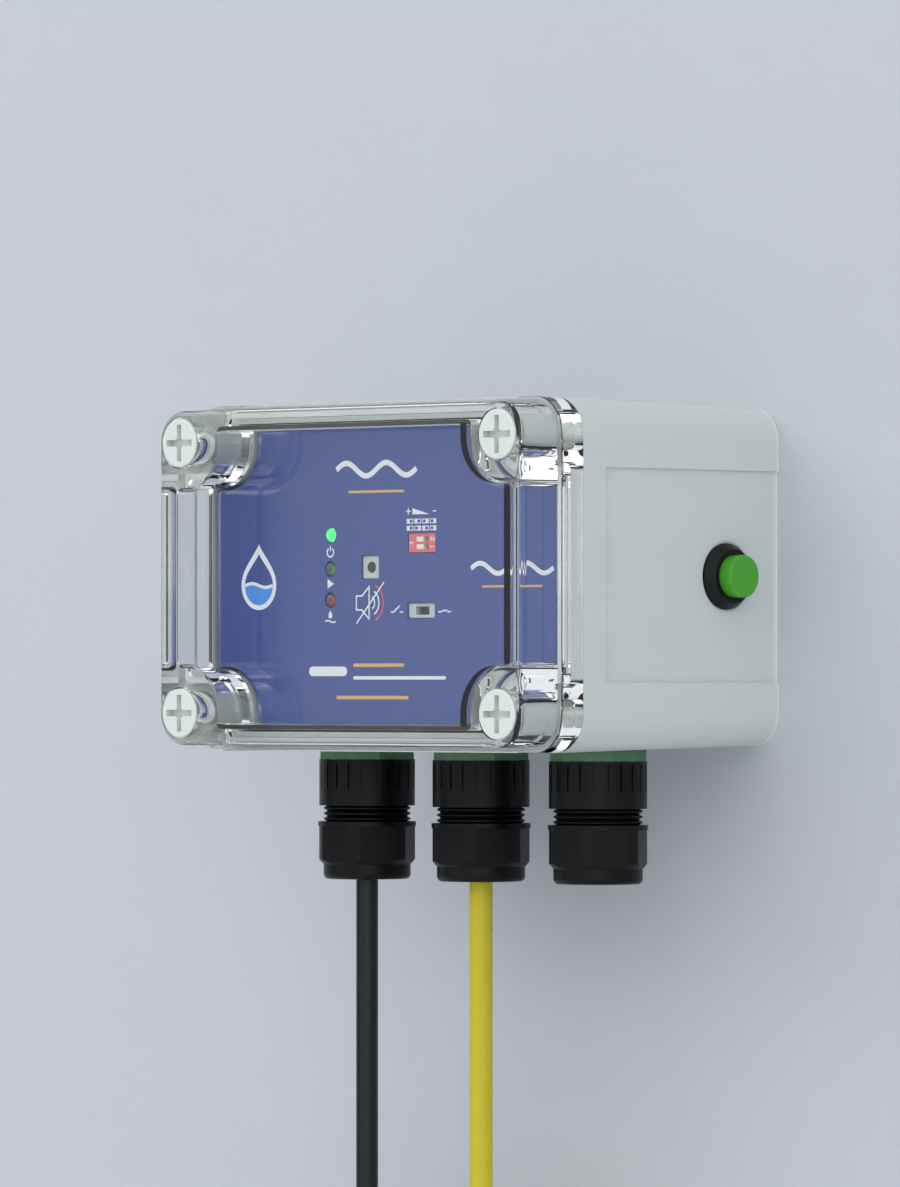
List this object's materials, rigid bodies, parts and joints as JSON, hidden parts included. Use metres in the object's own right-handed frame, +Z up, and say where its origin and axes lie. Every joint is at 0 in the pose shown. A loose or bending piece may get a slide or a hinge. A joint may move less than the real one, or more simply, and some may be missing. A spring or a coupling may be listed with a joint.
{
  "type": "leak detection controller",
  "caption": "Wall box with a clear lid over a blue indicator plate, cable glands below with two leads, and a push button in one side.",
  "frame": {"origin": "middle of the back face, where the box meets the wall", "axes": "+X to the right seen from the front, +Y into the wall, +Z up"},
  "size_m": [0.1241, 0.0852, 0.3084],
  "materials": {
    "housing": "satin",
    "clear_lid": "gloss",
    "gasket": "matt",
    "lid_screws": "satin",
    "face_plate": "matt",
    "board": "satin",
    "brass_pillars": "satin",
    "steel_screws": "satin",
    "lamp_green": "gloss",
    "lamp_dark_green": "gloss",
    "lamp_dark_red": "gloss",
    "switch_black": "satin",
    "switch_grey": "satin",
    "setting_switch_red": "satin",
    "lever_white": "satin",
    "relay_blue": "satin",
    "capacitor_can": "satin",
    "terminal_green": "satin",
    "bezel_black": "satin",
    "button_green": "gloss",
    "plated_nut": "satin",
    "lead_black": "satin",
    "lead_yellow": "satin",
    "tie_black": "satin",
    "plug_black": "satin",
    "core_black": "satin",
    "core_yellow": "satin",
    "washer_green": "satin",
    "gland_black": "satin",
    "seal_rubber": "matt"
  },
  "bodies": {
    "controller": {"alarm_buzzer": "switch_black", "alarm_relay": "relay_blue", "base_housing": "housing", "board_pillars": "brass_pillars", "board_screws": "steel_screws", "button_bezel": "bezel_black", "button_nut": "plated_nut", "button_wires": "core_black", "circuit_board": "board", "clear_lid": "clear_lid", "contact_terminal": "terminal_green", "dip_switch_body": "setting_switch_red", "face_plate": "face_plate", "gland_body_left": "gland_black", "gland_body_middle": "gland_black", "gland_body_right": "gland_black", "gland_locknut_left": "gland_black", "gland_locknut_middle": "gland_black", "gland_locknut_right": "gland_black", "gland_nut_left": "gland_black", "gland_nut_middle": "gland_black", "gland_nut_right": "gland_black", "gland_seal_left": "seal_rubber", "gland_seal_middle": "seal_rubber", "gland_seal_right": "seal_rubber", "gland_washer_left": "washer_green", "gland_washer_middle": "washer_green", "gland_washer_right": "washer_green", "led_leak": "lamp_dark_red", "led_power": "lamp_green", "led_run": "lamp_dark_green", "lid_gasket": "gasket", "lid_screws": "lid_screws", "microcontroller": "switch_black", "mute_switch": "switch_grey", "power_cores": "core_black", "power_lead": "lead_black", "power_lead_coil": "lead_black", "power_lead_tie": "tie_black", "power_plug": "plug_black", "power_terminal": "terminal_green", "relay_mode_switch": "switch_grey", "sensor_connector": "plug_black", "sensor_cores": "core_yellow", "sensor_lead": "lead_yellow", "sensor_lead_coil": "lead_yellow", "sensor_lead_tie": "tie_black", "sensor_terminal": "terminal_green", "smoothing_capacitor": "capacitor_can"},
    "button_cap": {"button_cap": "button_green"},
    "mute_plunger": {"mute_plunger": "switch_black"},
    "relay_mode_slider": {"relay_mode_slider": "switch_black"},
    "dip_lever_1": {"dip_lever_1": "lever_white"},
    "dip_lever_2": {"dip_lever_2": "lever_white"}
  },
  "joints": [
    {"name": "button_press", "type": "slide", "parent": "controller", "child": "button_cap", "axis": [-1, 0, 0], "range_m": [0, 0.0015], "stiffness_N_per_m": 800, "springref_m": -0.001},
    {"name": "mute_press", "type": "slide", "parent": "controller", "child": "mute_plunger", "axis": [0, 1, 0], "range_m": [0, 0.00025], "stiffness_N_per_m": 4000, "springref_m": -0.0001},
    {"name": "relay_mode", "type": "slide", "parent": "controller", "child": "relay_mode_slider", "axis": [-1, 0, 0], "range_m": [0, 0.0014]},
    {"name": "setting_1", "type": "slide", "parent": "controller", "child": "dip_lever_1", "axis": [1, 0, 0], "range_m": [0, 0.00145]},
    {"name": "setting_2", "type": "slide", "parent": "controller", "child": "dip_lever_2", "axis": [1, 0, 0], "range_m": [0, 0.00145]}
  ]
}
